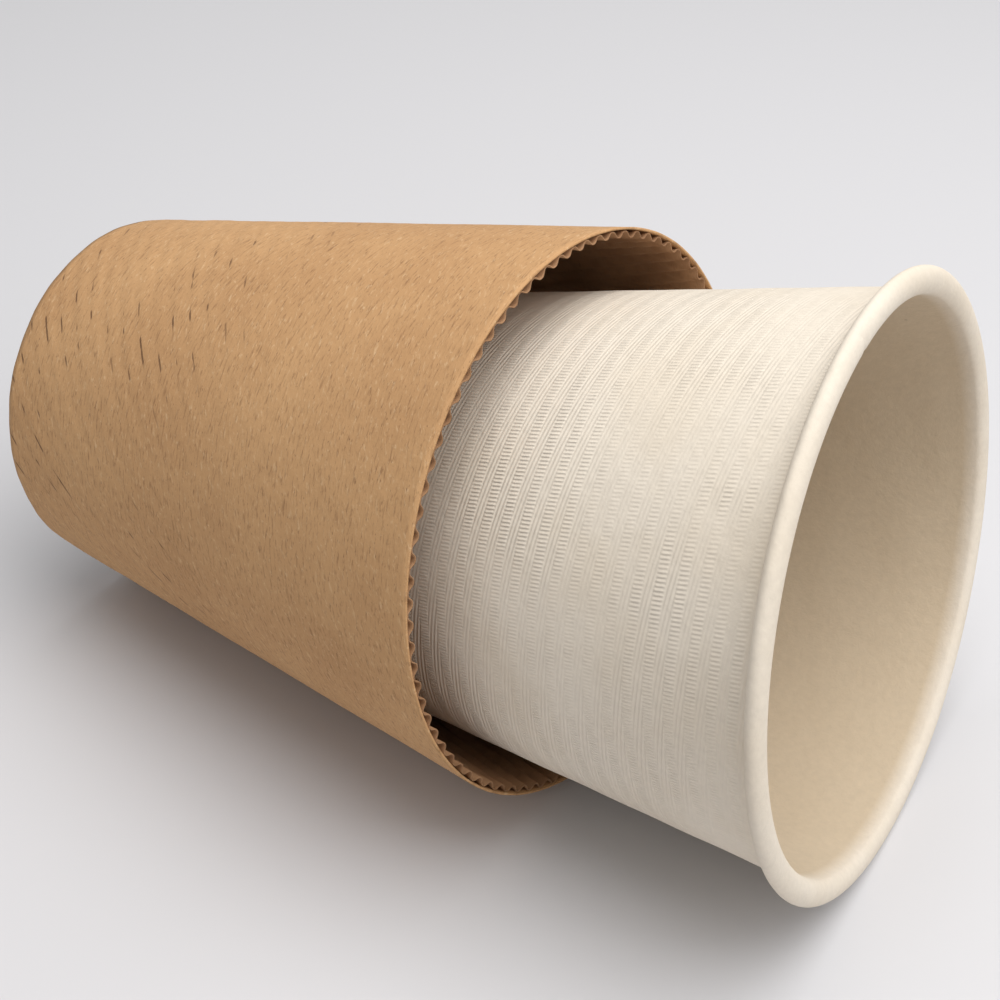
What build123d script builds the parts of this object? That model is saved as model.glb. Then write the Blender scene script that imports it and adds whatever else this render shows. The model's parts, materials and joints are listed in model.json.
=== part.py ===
"""A moulded-fibre coffee cup and the corrugated sleeve that goes round it.

The sleeve has been drawn most of the way down the cup, and the two lie on their side: the cup's lip
and the sleeve's outside touch the surface, and the cup's base rests inside the sleeve.
Millimetres. +Z is up from the surface, +X runs along the cup towards its mouth, and the origin is
the middle of the footprint on the surface.
"""

import os
from math import atan, cos, degrees, hypot, pi, radians, sin

from build123d import *

# Cup
lip_outer_d = 90.0       # over the lip
lip_width = 4.0          # lip section, across the wall
lip_height = 2.6         # lip section, along the cup
cup_height = 109.0       # standing ring to the top of the lip
cup_wall = 1.0
wall_taper = 0.136       # radius lost for each millimetre down the wall
corner_r = 4.0           # outside corner between wall and base
base_panel = 1.2         # thickness of the base panel
base_recess = 1.0        # the panel's height over the standing ring
ring_width = 3.5         # flat of the standing ring
ring_slope = 1.5         # run of the slope from the ring up to the panel

# Sleeve: a flat liner outside, a fluted sheet glued to it inside
sleeve_height = 94.5     # along its axis
liner_sheet = 0.35
fluted_sheet = 0.18
flute_height = 1.20      # over both faces of the fluted sheet
flute_pitch = 3.25       # along the mouth
lap_width = 12.0         # of the liner's glued lap, round the mouth
lap_angle = -35.0        # lap's middle, from the far side, upwards positive

# Fits
glue_line = 0.05         # between the flutes' crests and the liner
push_fit = 0.0           # cup wall to the flutes when the sleeve is pushed home
seat_gap = 0.05          # cup to the flutes where it rests on them

# Places
seated_depth = 4.5       # lip to the sleeve's mouth when the sleeve is pushed home
drawn_off = 39.7         # how far the sleeve has been drawn down from there
skew_share = 0.6         # share of the turn that the slack allows
shift_share = 0.5        # share of the slack taken up sideways at the sleeve's mouth

# Worked out from the sizes above
lip_plane = cup_height - lip_height / 2
lip_centre_r = (lip_outer_d - lip_width) / 2
wall_top_r = lip_outer_d / 2 - lip_width + cup_wall
board = liner_sheet + glue_line + flute_height
sleeve_mouth_r = wall_top_r - wall_taper * seated_depth + push_fit + board
half_angle = atan(wall_taper)
slack = wall_taper * drawn_off
mouth_back = seated_depth + drawn_off
engaged = lip_plane - mouth_back
sleeve_skew = -skew_share * atan(2 * slack / engaged)
sleeve_shift = -shift_share * slack


def wall_r(height):
    """Outside radius of the cup's wall at a height over its base."""
    return wall_top_r - wall_taper * (lip_plane - height)


def sleeve_r(along):
    """Outside radius of the sleeve, along its axis from its mouth, which is at 0."""
    return sleeve_mouth_r + wall_taper * along


def region(*points):
    """A flat closed region in the XZ plane, from (radius, height) points."""
    return make_face(Plane.XZ * Polyline(*points, close=True))


def rounded(face, radius, height, corner):
    """The same region with one of its corners rounded."""
    spot = Vector(radius, 0, height)
    nearest = min(face.vertices(), key=lambda vertex: (Vector(vertex) - spot).length)
    return fillet(nearest, corner)


def make_cup():
    """The cup standing on its base: one moulding, turned from its section."""
    floor_top = base_recess + base_panel
    foot_r = wall_r(0)
    bore_foot_r = wall_r(floor_top) - cup_wall
    bore_top_r = wall_top_r - cup_wall
    panel_r = foot_r - corner_r - ring_width
    outside = region((0, 0), (foot_r, 0), (wall_top_r, lip_plane), (0, lip_plane))
    outside = rounded(outside, foot_r, 0, corner_r)
    inside = region((0, floor_top), (bore_foot_r, floor_top), (bore_top_r, lip_plane), (0, lip_plane))
    inside = rounded(inside, bore_foot_r, floor_top, corner_r - cup_wall)
    under = region((0, 0), (panel_r, 0), (panel_r - ring_slope, base_recess), (0, base_recess))
    lip = Plane.XZ * Pos(lip_centre_r, lip_plane) * Ellipse(lip_width / 2, lip_height / 2)
    return revolve(outside - inside - under + lip, Axis.Z)


def cone_shell(outer_mouth_r, thickness, arc=360):
    """A length of the sleeve's cone about Z with its mouth at z = 0, or a strip of it."""
    end_r = outer_mouth_r - wall_taper * sleeve_height
    section = region(
        (outer_mouth_r - thickness, 0),
        (outer_mouth_r, 0),
        (end_r, -sleeve_height),
        (end_r - thickness, -sleeve_height),
    )
    return revolve(section, Axis.Z, arc)


def make_liner():
    """The flat sheet rolled into a cone, with its one end glued down over the other."""
    lap = degrees(lap_width / sleeve_mouth_r)
    strip = cone_shell(sleeve_mouth_r + liner_sheet, liner_sheet, lap)
    return cone_shell(sleeve_mouth_r, liner_sheet) + Rot(Z=lap_angle - lap / 2) * strip


def flute_ends(along, count):
    """Edges of the fluted sheet's section at one place along the sleeve, outer face then inner.

    A crest and a root are arcs of one radius about their own centres, and meet halfway between them.
    """
    step = pi / count
    half = fluted_sheet / 2
    crest_r = sleeve_r(along) - liner_sheet - glue_line - half
    root_r = crest_r - flute_height + fluted_sheet
    span = hypot(crest_r - root_r * cos(step), root_r * sin(step))
    bend = span ** 2 / (4 * (crest_r - root_r))

    def spot(radius, turn):
        return Vector(radius * cos(turn), radius * sin(turn), along)

    def face_edges(side):
        """side is +1 for the sheet's outer face and -1 for its inner face."""
        edges = []
        for flute in range(count):
            turn = 2 * flute * step
            crest_centre = spot(crest_r - bend, turn)
            before = spot(root_r + bend, turn - step) - crest_centre
            after = spot(root_r + bend, turn + step) - crest_centre
            reach = bend + side * half
            start = crest_centre + before.normalized() * reach
            finish = crest_centre + after.normalized() * reach
            following = start.rotate(Axis.Z, degrees(2 * step))
            crest = spot(crest_r + side * half, turn)
            root = spot(root_r + side * half, turn + step)
            edges.append(Edge.make_three_point_arc(start, crest, finish))
            edges.append(Edge.make_three_point_arc(finish, root, following))
        return edges

    return face_edges(1), face_edges(-1)


def make_flutes():
    """The fluted sheet, each of its faces a ruled strip from the mouth to the small end."""
    count = round(2 * pi * (sleeve_mouth_r - board / 2) / flute_pitch)
    mouth = flute_ends(0, count)
    small_end = flute_ends(-sleeve_height, count)
    faces = []
    for near, far in zip(mouth, small_end):
        faces += [Face.make_surface_from_curves(a, b) for a, b in zip(near, far)]
    for outer, inner in (mouth, small_end):
        faces.append(Face(Wire(outer), [Wire(inner)]))
    return Solid(Shell(faces))


def cup_place(tilt):
    """The standing cup's frame once it lies on its lip, its axis raised by tilt at the mouth."""
    axis = Vector(cos(tilt), 0, sin(tilt))
    lip_reach = hypot(lip_width / 2 * cos(tilt), lip_height / 2 * sin(tilt))
    lip_centre = Vector(0, 0, lip_centre_r * cos(tilt) + lip_reach)
    return Plane(origin=lip_centre - axis * lip_plane, x_dir=(0, 1, 0), z_dir=axis)


def sleeve_place():
    """The sleeve's frame, its mouth at the origin, with its lowest line on the surface."""
    axis = Vector(
        cos(half_angle) * cos(sleeve_skew), cos(half_angle) * sin(sleeve_skew), sin(half_angle)
    )
    mouth = Vector(-mouth_back, sleeve_shift, sleeve_mouth_r * cos(half_angle))
    return Plane(origin=mouth, x_dir=(-sin(sleeve_skew), cos(sleeve_skew), 0), z_dir=axis)


def seat_clearance(tilt):
    """Least distance from the cup's outside to the flutes, over the length inside the sleeve."""
    corner = [
        (wall_r(0) - corner_r * (1 - sin(radians(turn))), corner_r * (1 - cos(radians(turn))))
        for turn in range(0, 91, 10)
    ]
    wall = [(wall_r(height), height) for height in range(int(corner_r) + 1, int(cup_height))]
    cup, sleeve = cup_place(tilt), sleeve_place()
    least = slack
    for radius, height in corner + wall:
        for turn in range(0, 360, 4):
            local = Vector(radius * cos(radians(turn)), radius * sin(radians(turn)), height)
            spot = sleeve.to_local_coords(cup.from_local_coords(local))
            if -sleeve_height < spot.Z < 0:
                least = min(least, sleeve_r(spot.Z) - board - hypot(spot.X, spot.Y))
    return least


def resting_tilt():
    """The steepest the cup can lie before it meets the flutes, found by halving."""
    low = 0.0
    high = 2 * half_angle
    for _ in range(18):
        middle = (low + high) / 2
        if seat_clearance(middle) > seat_gap:
            low = middle
        else:
            high = middle
    return low


sleeve = sleeve_place()
pieces = {
    "cup": cup_place(resting_tilt()) * make_cup(),
    "sleeve_liner": sleeve * make_liner(),
    "sleeve_flutes": sleeve * make_flutes(),
}
footprint = pieces["cup"].bounding_box().add(pieces["sleeve_liner"].bounding_box())
to_middle = Pos(-footprint.center().X, -footprint.center().Y, 0)

os.makedirs("parts", exist_ok=True)
for name, shape in pieces.items():
    export_step(to_middle * shape, f"parts/{name}.step")
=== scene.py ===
import json
import math
import bpy
import numpy as np
from mathutils import Euler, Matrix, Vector


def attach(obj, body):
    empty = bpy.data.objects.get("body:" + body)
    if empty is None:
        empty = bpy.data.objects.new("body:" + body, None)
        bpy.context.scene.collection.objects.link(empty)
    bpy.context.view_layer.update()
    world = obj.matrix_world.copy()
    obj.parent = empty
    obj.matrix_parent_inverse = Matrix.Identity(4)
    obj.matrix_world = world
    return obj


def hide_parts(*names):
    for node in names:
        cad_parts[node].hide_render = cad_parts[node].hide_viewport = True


# A paper coffee cup lying on its side, with its corrugated card sleeve drawn most of the way down it.
# Three pieces: the moulded fibre cup, the sleeve's flat kraft sheet, and the fluted sheet glued in it.

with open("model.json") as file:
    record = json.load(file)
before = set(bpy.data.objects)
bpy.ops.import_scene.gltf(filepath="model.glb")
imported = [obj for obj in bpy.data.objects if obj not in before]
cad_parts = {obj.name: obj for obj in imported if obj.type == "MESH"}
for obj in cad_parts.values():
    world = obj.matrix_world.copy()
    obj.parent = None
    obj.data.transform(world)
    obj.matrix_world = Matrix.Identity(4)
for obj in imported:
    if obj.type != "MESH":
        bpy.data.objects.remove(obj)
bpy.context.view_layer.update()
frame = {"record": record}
print("stage: frame loaded")

# where the cup lies: its lip's top centre and its axis, out of the mouth
mounts = {mount["name"]: mount for mount in frame["record"]["mounts"]}
lipTop = np.array(mounts["lid_lip"]["pos_m"])
cupAxis = np.array(mounts["lid_lip"]["axis"])
turn = 2 * math.pi


# sRGB numbers from 0 to 255 as a linear colour: ((c + 0.055) / 1.055) ^ 2.4
def linear(red, green, blue):
    return tuple(((c / 255 + 0.055) / 1.055) ** 2.4 for c in (red, green, blue)) + (1,)


# 0 below low, 1 above high, 3t^2 - 2t^3 between
def smooth(low, high, x):
    t = np.clip((x - low) / (high - low), 0, 1)
    return t * t * (3 - 2 * t)


# gentle unevenness, about -1 to 1: a sum of sines of a and b with seeded counts and phases,
# the nth of them 1 / n as strong as the first
def ripple(a, b, seed, waves=7):
    draw = np.random.default_rng(seed)
    total = np.zeros(np.broadcast(a, b).shape)
    for strength in 1 / np.arange(1, waves + 1):
        countA, countB = draw.integers(1, 9), draw.uniform(0.5, 6)
        total = total + strength * np.sin(countA * a + countB * b * turn + draw.uniform(0, turn))
    return total / 2.2


# local (x, y, z) points carried to origin + x * side + y * up + z * axis, side lying level
def placed(points, origin, axis):
    side = np.array([-axis[1], axis[0], 0.0])
    side /= np.linalg.norm(side)
    up = np.cross(axis, side)
    return origin + points[..., :1] * side + points[..., 1:2] * up + points[..., 2:] * axis


# quads of a rows x columns grid: point (i, j) is number i * columns + j, and a direction that
# wraps joins its last row or column to its first; also each quad's row and column
def gridFaces(rows, columns, wrapRows, wrapColumns):
    i = np.arange(rows if wrapRows else rows - 1)[:, None]
    j = np.arange(columns if wrapColumns else columns - 1)[None, :]
    nextI, nextJ = (i + 1) % rows, (j + 1) % columns
    corners = [i * columns + j, i * columns + nextJ, nextI * columns + nextJ, nextI * columns + j]
    return np.stack(corners, -1).reshape(-1, 4), i + 0 * j, j + 0 * i


# an object at the origin, from points, faces, a uv for each face corner and named values for each point
def makePiece(name, points, faces, uv=None, values=None):
    mesh = bpy.data.meshes.new(name)
    mesh.from_pydata(points.reshape(-1, 3), [], faces)
    if uv is not None:
        mesh.uv_layers.new(name="UVMap").data.foreach_set("uv", uv.reshape(-1).astype("float32"))
    for key, numbers in (values or {}).items():
        mesh.attributes.new(key, "FLOAT", "POINT").data.foreach_set("value", numbers.astype("float32"))
    mesh.polygons.foreach_set("use_smooth", np.ones(len(faces), bool))
    mesh.update()
    piece = bpy.data.objects.new(name, mesh)
    bpy.context.collection.objects.link(piece)
    return piece


cupSizes = {
    "lipOuter": 0.045, "lipWidth": 0.0040, "lipHeight": 0.0026, "height": 0.109,
    "wall": 0.0010, "taper": 0.136, "corner": 0.0040, "panel": 0.0012, "recess": 0.0010,
    "ring": 0.0035, "slope": 0.0015,
    "lipFrom": -120, "lipTo": 176, "wallTop": -0.0012,  # where the wall runs into the lip, and leaves it
    "lipUneven": 0.00018, "wallUneven": 0.00012, "trueBelow": -0.10, "unevenAbove": -0.08,
    "waveLength": 0.06, "waveSeed": 5,
    "nickAt": 1.72, "nickWidth": 0.010, "nickShare": 0.16,
    "aroundSteps": 384, "wallSteps": 110, "boreSteps": 50, "lipSteps": 30, "cornerSteps": 10, "baseSteps": 10,
}


# points (r, z) on a circle: centre + radius * (cos t, sin t), t from start to finish in degrees
def arc(centre, radius, start, finish, steps):
    t = np.radians(np.linspace(start, finish, steps))
    return np.stack([centre[0] + radius * np.cos(t), centre[1] + radius * np.sin(t)], 1)


# evenly spaced points start * (1 - t) + finish * t, both ends left out
def line(start, finish, steps):
    t = np.linspace(0, 1, steps + 2)[1:-1, None]
    return np.array(start) * (1 - t) + np.array(finish) * t


# the cup's section as (r, z) points, the lip's middle plane at z = 0: under the base from the axis,
# round the corner, up the wall (r = topR + taper * z), over the lip (an ellipse), down the bore and
# back to the axis; with a mark for each point: 0 base, 1 outside wall, 2 lip, 3 inside
def cupProfile(size):
    footZ = size["lipHeight"] / 2 - size["height"]
    topR = size["lipOuter"] - size["lipWidth"] + size["wall"]
    recessZ = footZ + size["recess"]
    floorZ = recessZ + size["panel"]
    cornerZ = footZ + size["corner"]
    ringOut = topR + size["taper"] * footZ - size["corner"]
    ringIn = ringOut - size["ring"]
    base = np.vstack([
        line((0, recessZ), (ringIn - size["slope"], recessZ), size["baseSteps"]),
        line((ringIn - size["slope"], recessZ), (ringIn, footZ), 3),
        line((ringIn, footZ), (ringOut, footZ), 3),
    ])
    corner = arc((ringOut, cornerZ), size["corner"], -90, -8, size["cornerSteps"])
    wall = line((topR + size["taper"] * cornerZ, cornerZ), (topR, size["wallTop"]), size["wallSteps"])
    t = np.radians(np.linspace(size["lipFrom"], size["lipTo"], size["lipSteps"]))
    lipMiddle = size["lipOuter"] - size["lipWidth"] / 2
    lip = np.stack([lipMiddle + size["lipWidth"] / 2 * np.cos(t), size["lipHeight"] / 2 * np.sin(t)], 1)
    innerR = size["corner"] - size["wall"]
    boreZ = floorZ + innerR
    boreR = topR + size["taper"] * boreZ - size["wall"]
    bore = line((topR - size["wall"], 0), (boreR, boreZ), size["boreSteps"])
    innerCorner = arc((boreR - innerR, boreZ), innerR, 0, -90, 8)
    floor = line((boreR - innerR, floorZ), (0, floorZ), size["baseSteps"])
    parts = [base, corner, wall, lip, bore, innerCorner, floor]
    marks = np.repeat([0, 1, 1, 2, 3, 3, 3], [len(part) for part in parts])
    return np.vstack(parts), marks


# the section turned about the axis: (r cos a, r sin a, z), with each pole one point; the wall is out
# of true by wallUneven and the lip by lipUneven, both inwards, and the lip's top has one small nick,
# exp(-((a - nickAt) / nickWidth)^2) of its height deep
def makeCup(size):
    profile, marks = cupProfile(size)
    count, around = len(profile), size["aroundSteps"]
    a = np.arange(around) * turn / around
    r, z = profile[:, None, 0], profile[:, None, 1]
    onWall = ((marks == 1) | (marks == 3))[:, None]
    onLip = (marks == 2)[:, None]
    wave = ripple(a[None, :], z / size["waveLength"], size["waveSeed"])
    give = onWall * size["wallUneven"] * smooth(size["trueBelow"], size["unevenAbove"], z)
    give = give + onLip * size["lipUneven"]
    r = r - give * (0.5 + 0.5 * wave)
    nick = np.exp(-((a - size["nickAt"]) / size["nickWidth"]) ** 2)[None, :] * onLip * np.maximum(0, z)
    points = np.stack([r * np.cos(a), r * np.sin(a), z - size["nickShare"] * nick], -1)
    poles = np.array([[0, 0, profile[0, 1]], [0, 0, profile[-1, 1]]])
    points = placed(np.vstack([points.reshape(-1, 3), poles]), lipCentre, cupAxis)
    # quads between the rows, and a fan of triangles at each pole
    quads, row, column = gridFaces(count, around, False, True)
    j = np.arange(around)
    nextJ = (j + 1) % around
    lastRow, firstPole = (count - 1) * around, count * around
    under = np.stack([0 * j + firstPole, nextJ, j], 1)
    inner = np.stack([0 * j + firstPole + 1, lastRow + j, lastRow + nextJ], 1)
    faces = quads.tolist() + under.tolist() + inner.tolist()
    # uv: turns round the cup, and metres along it
    u = np.stack([column, column + 1, column + 1, column], -1).reshape(-1, 4) / around
    v = profile[np.stack([row, row, row + 1, row + 1], -1).reshape(-1, 4), 1]
    uv = np.vstack([np.stack([u, v], -1).reshape(-1, 2), np.zeros((2 * around * 3, 2))])
    outside = np.append(np.repeat((marks == 1).astype(float), around), [0, 0])
    inside = np.append(np.repeat((marks == 3).astype(float), around), [0, 1])
    return makePiece("cup_moulding", points, faces, uv, {"outside": outside, "inside": inside})


sleeveSizes = {
    "mouthR": 0.042988, "taper": 0.136, "length": 0.0945, "mouthBack": 0.0442,
    "skew": math.radians(-5.79), "shift": -0.0027,
    "pitch": 0.00325, "lap": 0.012, "lapAt": math.radians(-35),
    # the flat sheet
    "liner": 0.00035, "washboard": 0.00004, "softness": 0.00008,
    "cornering": 0.00011, "corneringPitches": 3, "corneringFrom": 0.55, "lapRise": 0.05,
    "linerColumns": 560, "linerRows": 88,
    # the fluted sheet
    "fluted": 0.00018, "fluteHeight": 0.00106, "glue": 0.00019, "inset": 0.00015,
    "fullness": 0.42, "wander": 0.35, "fluteColumns": 1312, "fluteRows": 30,
}
halfAngle = math.atan(sleeveSizes["taper"])
lipCentre = lipTop - cupAxis * cupSizes["lipHeight"] / 2
sleeveMouth = np.array([
    lipCentre[0] - sleeveSizes["mouthBack"],
    lipCentre[1] + sleeveSizes["shift"],
    sleeveSizes["mouthR"] * math.cos(halfAngle),
])
sleeveAxis = np.array([
    math.cos(halfAngle) * math.cos(sleeveSizes["skew"]),
    math.cos(halfAngle) * math.sin(sleeveSizes["skew"]),
    math.sin(halfAngle),
])
slopeLength = sleeveSizes["length"] / math.cos(halfAngle)
apexToMouth = sleeveSizes["mouthR"] / math.sin(halfAngle)  # along the slope
lapTurn = sleeveSizes["lap"] / sleeveSizes["mouthR"]
crestAngle = sleeveSizes["lapAt"] + math.pi  # the flutes run straight down the cone here


# distance across the flat blank: (apexToMouth - down) * sin((a - crestAngle) * sin(halfAngle)), with
# a the angle round the cone and down the distance down its slope from the mouth
def blankAcross(a, down):
    return (apexToMouth - down) * np.sin((a - crestAngle) * math.sin(halfAngle))


# the point round the cone at a, down its slope, sunk by depth square to its face:
# r = (apexToMouth - down) * sin(halfAngle) - depth * cos(halfAngle)
def conePoints(a, down, depth):
    r = (apexToMouth - down) * math.sin(halfAngle) - depth * math.cos(halfAngle)
    z = -down * math.cos(halfAngle) + depth * math.sin(halfAngle)
    return placed(np.stack([r * np.cos(a), r * np.sin(a), z + 0 * a], -1), sleeveMouth, sleeveAxis)


# a sheet from two (down x around) grids of points, its outer and inner faces: one grid of the outer
# rows, then the inner rows backwards, wrapped, and a strip of quads to close each side
def sheetPiece(name, outer, inner, across, down):
    rows, columns = outer.shape[:2]
    points = np.concatenate([outer, inner[::-1]])
    faces = [gridFaces(2 * rows, columns, True, False)[0][:, ::-1]]
    k = np.arange(rows - 1)
    for column, order in ((0, -1), (columns - 1, 1)):
        outerEdge, innerEdge = k * columns + column, (2 * rows - 1 - k) * columns + column
        side = np.stack([outerEdge, outerEdge + columns, innerEdge - columns, innerEdge], 1)
        faces.append(side[:, ::order])
    faces = np.vstack(faces)
    u = np.concatenate([across, across[::-1]]).reshape(-1)
    v = np.concatenate([down, down[::-1]]).reshape(-1)
    return makePiece(name, points, faces.tolist(), np.stack([u[faces], v[faces]], -1))


# the flat sheet: a full turn and a lap, whose upper end rises by one sheet over the lower; its face
# sinks by washboard * (1 + cos) / 2 over the flutes, and to its small end by cornering * (1 - cos) / 2
# over every few of them, and it is a little soft all over
def makeLiner(size):
    start = size["lapAt"] + lapTurn / 2 - turn
    a = np.linspace(start - lapTurn, start + turn, size["linerColumns"])[None, :]
    share = np.linspace(0, 1, size["linerRows"])[:, None]
    down = share * slopeLength + 0 * a
    across = blankAcross(a, down)
    lapEnd = start + turn - lapTurn
    lift = size["liner"] * smooth(lapEnd - size["lapRise"], lapEnd, a)
    press = size["washboard"] * (0.5 + 0.5 * np.cos(across * turn / size["pitch"]))
    press = press * (0.45 + 0.55 * smooth(0.0, 1.0, share))
    flats = 0.5 - 0.5 * np.cos(across * turn / (size["pitch"] * size["corneringPitches"]))
    flats = size["cornering"] * flats * smooth(size["corneringFrom"], 1.0, share)
    soft = size["softness"] * (0.5 + 0.5 * ripple(a, share, 11))
    sunk = press + flats + soft - lift
    outer = conePoints(a, down, sunk)
    inner = conePoints(a, down, sunk + size["liner"])
    return sheetPiece("sleeve_kraft_liner", outer, inner, across, down)


# the fluted sheet: its middle sinks below the liner by a wave of the distance across the flat blank,
# (1 - lobe) / 2 with lobe = sin(phase) * (1 + fullness * cos(phase)^2), flatter at crest and root
# than a sine, and its two faces stand half a sheet off that, square to its slope
def makeFlutes(size):
    start = size["lapAt"] - lapTurn / 2
    a = np.linspace(start, start + turn, size["fluteColumns"])[None, :]
    share = np.linspace(0, 1, size["fluteRows"])[:, None]
    down = size["inset"] + share * (slopeLength - 2 * size["inset"]) + 0 * a
    across = blankAcross(a, down)
    phase = across * turn / size["pitch"] + size["wander"] * ripple(a * 2, down / slopeLength * 0.2, 3)
    lobe = np.sin(phase) * (1 + size["fullness"] * np.cos(phase) ** 2)
    wave = 0.5 - 0.5 * lobe / np.max(np.abs(lobe))
    half = size["fluted"] / 2
    travel = size["fluteHeight"] - size["fluted"]
    middle = size["liner"] + size["glue"] + half + travel * wave
    steep = np.gradient(travel * wave, axis=1) / np.gradient(across, axis=1)
    stretch = np.sqrt(1 + steep ** 2)
    slide = half * steep / stretch / ((apexToMouth - down) * math.sin(halfAngle))
    outer = conePoints(a + slide, down, middle - half / stretch)
    inner = conePoints(a - slide, down, middle + half / stretch)
    return sheetPiece("sleeve_fluted_sheet", outer, inner, across, down)


# a shader socket, whose + - and * add Math nodes
class Value:

    def __init__(self, finish, socket):
        self.finish, self.socket = finish, socket

    def maths(self, operation, first, second):
        return self.finish.node("ShaderNodeMath", {"operation": operation}, {0: first, 1: second})

    def __add__(self, other):
        return self.maths("ADD", self, other)

    def __radd__(self, other):
        return self.maths("ADD", other, self)

    def __sub__(self, other):
        return self.maths("SUBTRACT", self, other)

    def __rsub__(self, other):
        return self.maths("SUBTRACT", other, self)

    def __mul__(self, other):
        return self.maths("MULTIPLY", self, other)

    def __rmul__(self, other):
        return self.maths("MULTIPLY", other, self)


# one material: node() adds any node, and set() feeds its shader
class Finish:

    def __init__(self, name):
        self.material = bpy.data.materials.new(name)
        self.material.use_nodes = True
        self.tree = self.material.node_tree
        self.shader = self.tree.nodes["Principled BSDF"]

    # a node of this type: settings first, then its sockets' values or links; gives one of its outputs
    def node(self, kind, settings=None, sockets=None, out=0):
        made = self.tree.nodes.new(kind)
        for key, value in (settings or {}).items():
            setattr(made, key, value)
        for key, value in (sockets or {}).items():
            self.feed(made.inputs[key], value)
        return Value(self, made.outputs[out])

    def feed(self, socket, value):
        if isinstance(value, Value):
            self.tree.links.new(value.socket, socket)
        else:
            socket.default_value = value

    def set(self, **values):
        for key, value in values.items():
            self.feed(self.shader.inputs[key.replace("_", " ")], value)

    # where the surface is: metres on the piece
    def place(self):
        return self.node("ShaderNodeTexCoord", out=3)

    # the uv, and its two numbers
    def uvNumbers(self):
        uv = self.node("ShaderNodeTexCoord", out=2)
        return uv, *(self.node("ShaderNodeSeparateXYZ", None, {0: uv}, out=n) for n in (0, 1))

    def attribute(self, name):
        return self.node("ShaderNodeAttribute", {"attribute_name": name}, out=2)

    def sine(self, value):
        return self.node("ShaderNodeMath", {"operation": "SINE"}, {0: value})

    # 0 at low, 1 at high, 3t^2 - 2t^3 between
    def rise(self, value, low, high):
        sockets = {"Value": value, "From Min": low, "From Max": high}
        return self.node("ShaderNodeMapRange", {"interpolation_type": "SMOOTHSTEP"}, sockets)

    def noise(self, place, scale, detail=3.0, roughness=0.55, distortion=0.0):
        sockets = {"Vector": place, "Scale": scale, "Detail": detail}
        return self.node("ShaderNodeTexNoise", None,
                         {**sockets, "Roughness": roughness, "Distortion": distortion})

    def stretched(self, place, scale, turned=(0, 0, 0)):
        return self.node("ShaderNodeMapping", None, {"Vector": place, "Rotation": turned, "Scale": scale})

    def mix(self, amount, first, second, blend="MIX"):
        return self.node("ShaderNodeMixRGB", {"blend_type": blend}, {0: amount, 1: first, 2: second})

    # colour * shade
    def shaded(self, colour, shade):
        grey = self.node("ShaderNodeCombineXYZ", None, {0: shade, 1: shade, 2: shade})
        return self.mix(1.0, colour, grey, "MULTIPLY")

    def bump(self, height, distance, strength, under=None):
        sockets = {"Height": height, "Distance": distance, "Strength": strength}
        if under is not None:
            sockets["Normal"] = under
        return self.node("ShaderNodeBump", None, sockets)


fibreLook = {
    "cream": linear(230, 219, 203), "warm": linear(221, 206, 184), "insideTan": linear(205, 186, 158),
    "speck": linear(96, 78, 62), "specular": 0.25,
    # the forming screen's print: bands round the cup, of short bars, and a fine twill between them
    "stitches": 430, "twillTurns": 60, "bandTurns": 3,
    "bandPitch": 0.0031, "barSlant": 0.0052, "twillPitch": 0.00062,
    "barDepth": 0.42, "twillDepth": 0.20, "bandDepth": 0.30,
}


# cream moulded fibre, smooth and warmer inside, printed outside by its forming screen:
# bars * rows + twill * (1 - rows), each a sine of the turns round the cup and the metres along it
def mouldedFibre(look):
    finish = Finish("moulded_fibre")
    place = finish.place()
    uv, around, along = finish.uvNumbers()
    outside, inside = finish.attribute("outside"), finish.attribute("inside")
    cloud = finish.noise(place, 55, 4)
    fine = finish.noise(place, 900, 3, 0.6)
    grain = finish.noise(place, 2600, 2, 0.7)
    drift = finish.noise(place, 40, 2) - 0.5
    band = finish.sine(along * (turn / look["bandPitch"]) + around * (turn * look["bandTurns"]) + drift * 2.2)
    rows = finish.rise(band, -0.35, 0.9)
    bars = finish.sine(around * (turn * look["stitches"]) + along * (turn / look["barSlant"]) + drift * 2.6)
    twill = along * (turn / look["twillPitch"]) + around * (turn * look["twillTurns"]) + drift * 3.0
    twill = finish.sine(twill)
    # the print is clear in some places, and nearly gone in others
    strength = finish.rise(finish.noise(place, 34, 3), 0.38, 0.62) * 0.7 + 0.25
    worn = finish.noise(place, 420, 2) * 0.9 + 0.55
    weave = bars * rows * look["barDepth"] + twill * (1 - rows) * look["twillDepth"]
    weave = weave * worn * strength * outside + rows * strength * outside * look["bandDepth"]
    colour = finish.mix(finish.rise(cloud, 0.35, 0.75) * 0.45, look["cream"], look["warm"])
    colour = finish.mix(inside * 0.85, colour, look["insideTan"])
    colour = finish.shaded(colour, weave * 0.07 + (fine - 0.5) * 0.16 + 0.98)
    # a few dark specks of pulp
    cells = {"Vector": place, "Scale": 130.0, "Randomness": 1.0}
    specks = finish.node("ShaderNodeTexVoronoi", {"feature": "F1"}, cells)
    few = finish.rise(finish.noise(place, 75, 1), 0.66, 0.70)
    colour = finish.mix((1 - finish.rise(specks, 0.035, 0.075)) * few * 0.75, colour, look["speck"])
    uneven = finish.bump(finish.noise(place, 130, 4), 0.0006, 0.5)
    printed = finish.bump(weave, 0.00020, 0.85, uneven)
    rough = finish.bump(fine * 0.6 + grain * 0.4, 0.00009, 0.9, printed)
    finish.set(Base_Color=colour, Normal=rough, Roughness=0.86 + fine * 0.08)
    finish.set(Specular_IOR_Level=look["specular"])
    return finish.material


kraftLook = {
    "pale": linear(200, 157, 111), "brown": linear(176, 132, 90), "deep": linear(120, 84, 56),
    "dark": linear(92, 62, 42), "lightFibre": linear(222, 188, 146), "specular": 0.3,
    "dashFrom": 0.035, "dashTo": 0.060, "paintedShadeFrom": 0.020, "paintedShadeTo": 0.085,
    "fluteBrown": linear(172, 132, 96), "fluteDark": linear(140, 102, 70),
}
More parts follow.
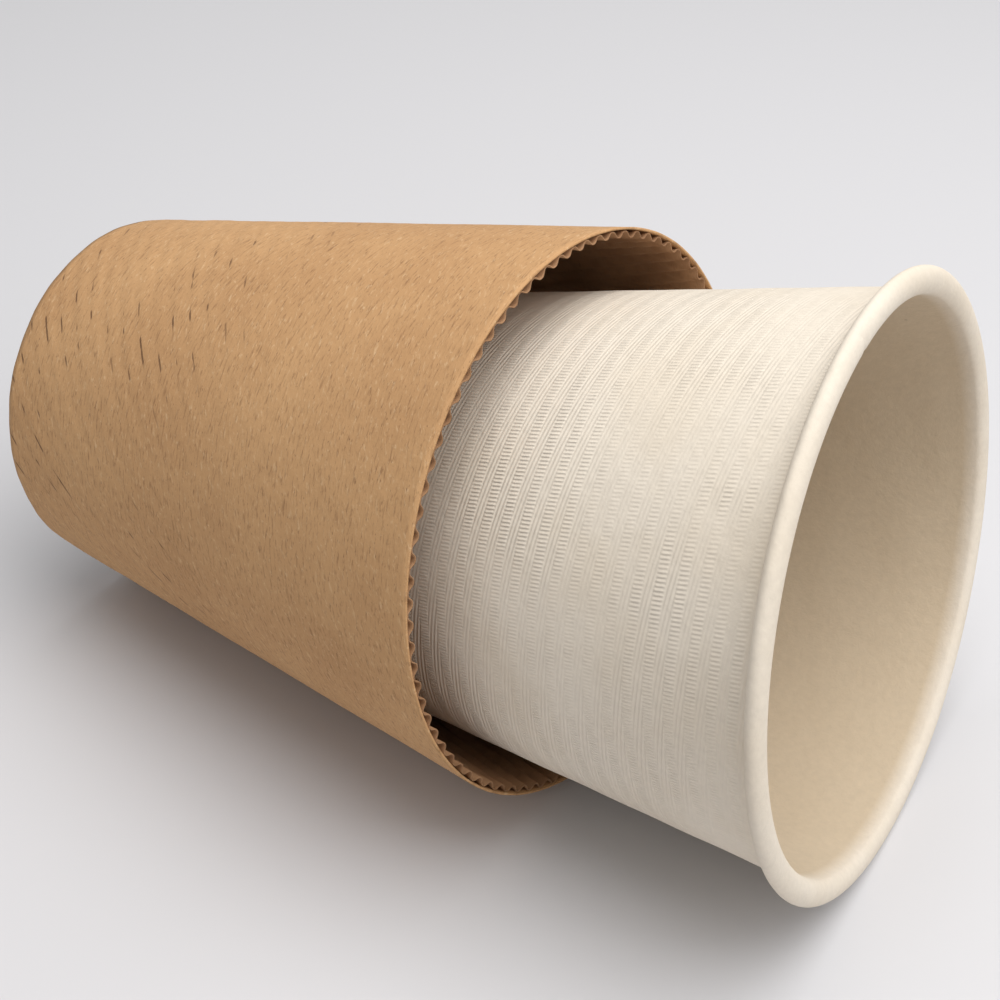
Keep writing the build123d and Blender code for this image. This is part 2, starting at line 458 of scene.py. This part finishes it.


# kraft sheet: cloudy brown with light and dark fibres; short pressed dashes in the valleys of sin(2 pi *
# across / pitch), where the board was bent over its flutes, and a painted shade and highlight of the
# washboard along the same sine, the colour a little lighter on its crests and darker in its valleys
def kraftLiner(look, size):
    finish = Finish("kraft_liner")
    place = finish.place()
    uv, across, down = finish.uvNumbers()
    cloud = finish.noise(place, 45, 5, 0.6)
    fibre = finish.noise(finish.stretched(uv, (1.0, 3.2, 1.0)), 700, 3, 0.65, 0.4)
    cross = finish.noise(finish.stretched(uv, (1.0, 1.0, 1.0), (0, 0, 0.7)), 1500, 3, 0.6, 0.8)
    flecks = finish.noise(finish.stretched(uv, (1.0, 2.2, 1.0)), 1900, 1, 0.5)
    colour = finish.mix(finish.rise(cloud, 0.3, 0.75) * 0.5, look["pale"], look["brown"])
    colour = finish.mix(finish.rise(fibre, 0.50, 0.74) * 0.55, colour, look["deep"])
    colour = finish.mix(finish.rise(cross, 0.54, 0.74) * 0.55, colour, look["lightFibre"])
    colour = finish.mix(finish.rise(flecks, 0.66, 0.76) * 0.55, colour, look["dark"])
    ridge = finish.sine(across * (turn / size["pitch"]))
    valley = finish.rise(ridge * -1.0, 0.90, 0.995)
    broken = finish.noise(finish.stretched(uv, (400.0, 420.0, 1.0)), 1.0, 1, 0.4)
    patches = finish.rise(finish.noise(place, 24, 1), 0.46, 0.56)
    where = finish.rise(down, look["dashFrom"], look["dashTo"]) * patches
    dash = valley * finish.rise(broken, 0.54, 0.64) * where
    colour = finish.mix(dash * 0.75, colour, look["dark"])
    # painted shade and highlight: the colour a little lighter where the sine is high and darker where it is
    # low, more so towards the sleeve's small end
    paintedStripesToEnd = finish.rise(down, look["paintedShadeFrom"], look["paintedShadeTo"])
    colour = finish.shaded(colour, ridge * paintedStripesToEnd * 0.025 + 1.0)
    uneven = finish.bump(finish.noise(place, 220, 4), 0.0005, 0.5)
    rough = finish.bump(fibre * 0.6 + cross * 0.4 - dash * 0.9, 0.00012, 0.8, uneven)
    finish.set(Base_Color=colour, Normal=rough, Roughness=0.80 + fibre * 0.12)
    finish.set(Specular_IOR_Level=look["specular"])
    return finish.material


# the fluted sheet: the same pulp, greyer and darker, its fibres drawn out along the flutes
def kraftFlutes(look):
    finish = Finish("kraft_flutes")
    uv = finish.uvNumbers()[0]
    cloud = finish.noise(finish.place(), 90, 4)
    fibre = finish.noise(finish.stretched(uv, (1.0, 3.0, 1.0)), 900, 3, 0.6)
    colour = finish.mix(finish.rise(cloud, 0.3, 0.7), look["fluteBrown"], look["fluteDark"])
    colour = finish.mix(finish.rise(fibre, 0.55, 0.8) * 0.5, colour, look["deep"])
    rough = finish.bump(fibre, 0.0001, 0.8)
    finish.set(Base_Color=colour, Normal=rough, Roughness=0.84 + fibre * 0.1)
    return finish.material


cup = makeCup(cupSizes)
cup.data.materials.append(mouldedFibre(fibreLook))
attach(cup, "root")
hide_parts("cup")
print("stage: cup made,", len(cup.data.polygons), "faces")

liner = makeLiner(sleeveSizes)
liner.data.materials.append(kraftLiner(kraftLook, sleeveSizes))
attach(liner, "root")
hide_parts("sleeve_liner")
print("stage: liner made,", len(liner.data.polygons), "faces")

flutes = makeFlutes(sleeveSizes)
flutes.data.materials.append(kraftFlutes(kraftLook))
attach(flutes, "root")
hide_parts("sleeve_flutes")
print("stage: flutes made,", len(flutes.data.polygons), "faces")

stageLook = {
    "floorColour": linear(212, 211, 213), "floorSize": 3.0, "floorRoughness": 0.7, "world": 0.40,
    "keyPlace": (0.16, 0.06, 0.72), "keySize": 0.70, "keyPower": 5.4,
    "sidePlace": (0.55, -0.10, 0.45), "sideSize": 0.5, "sidePower": 0.9, "aim": (0.0, 0.0, 0.03),
    "cameraPlace": (0.12123, -0.19467, 0.20789), "cameraTurn": (53.047, 0.735, 29.938),
    "lens": 65.96, "film": 36, "nearest": 0.01,
}


# a plain flat square at z = 0, floorSize across
def makeFloor(look):
    reach = look["floorSize"] / 2
    points = np.array([[-reach, -reach, 0], [reach, -reach, 0], [reach, reach, 0], [-reach, reach, 0]])
    floor = makePiece("floor", points, [[0, 1, 2, 3]])
    finish = Finish("floor_sheet")
    finish.set(Base_Color=look["floorColour"], Roughness=look["floorRoughness"])
    floor.data.materials.append(finish.material)


# a square soft lamp at place, facing aim: its -Z along aim - place
def softLight(name, place, size, power, aim):
    lamp = bpy.data.lights.new(name, "AREA")
    lamp.size, lamp.energy = size, power
    holder = bpy.data.objects.new(name, lamp)
    holder.location = place
    holder.rotation_euler = (Vector(aim) - Vector(place)).to_track_quat("-Z", "Y").to_euler()
    bpy.context.collection.objects.link(holder)


# the camera, turned about X, Y and Z by degrees, its lens and film in millimetres
def makeCamera(look):
    lens = bpy.data.cameras.new("camera")
    lens.lens, lens.sensor_width = look["lens"], look["film"]
    lens.clip_start = look["nearest"]
    holder = bpy.data.objects.new("camera", lens)
    holder.location = look["cameraPlace"]
    holder.rotation_euler = Euler([math.radians(angle) for angle in look["cameraTurn"]], "XYZ")
    bpy.context.collection.objects.link(holder)
    bpy.context.scene.camera = holder


# an even white world of this strength
def makeWorld(strength):
    world = bpy.data.worlds.new("world")
    world.use_nodes = True
    background = world.node_tree.nodes["Background"]
    background.inputs[0].default_value = (1, 1, 1, 1)
    background.inputs[1].default_value = strength
    bpy.context.scene.world = world


makeFloor(stageLook)
softLight("key", stageLook["keyPlace"], stageLook["keySize"], stageLook["keyPower"], stageLook["aim"])
softLight("side", stageLook["sidePlace"], stageLook["sideSize"], stageLook["sidePower"], stageLook["aim"])
makeWorld(stageLook["world"])
makeCamera(stageLook)
bpy.context.scene.view_settings.view_transform = "Standard"
print("stage: floor, lights and camera set")
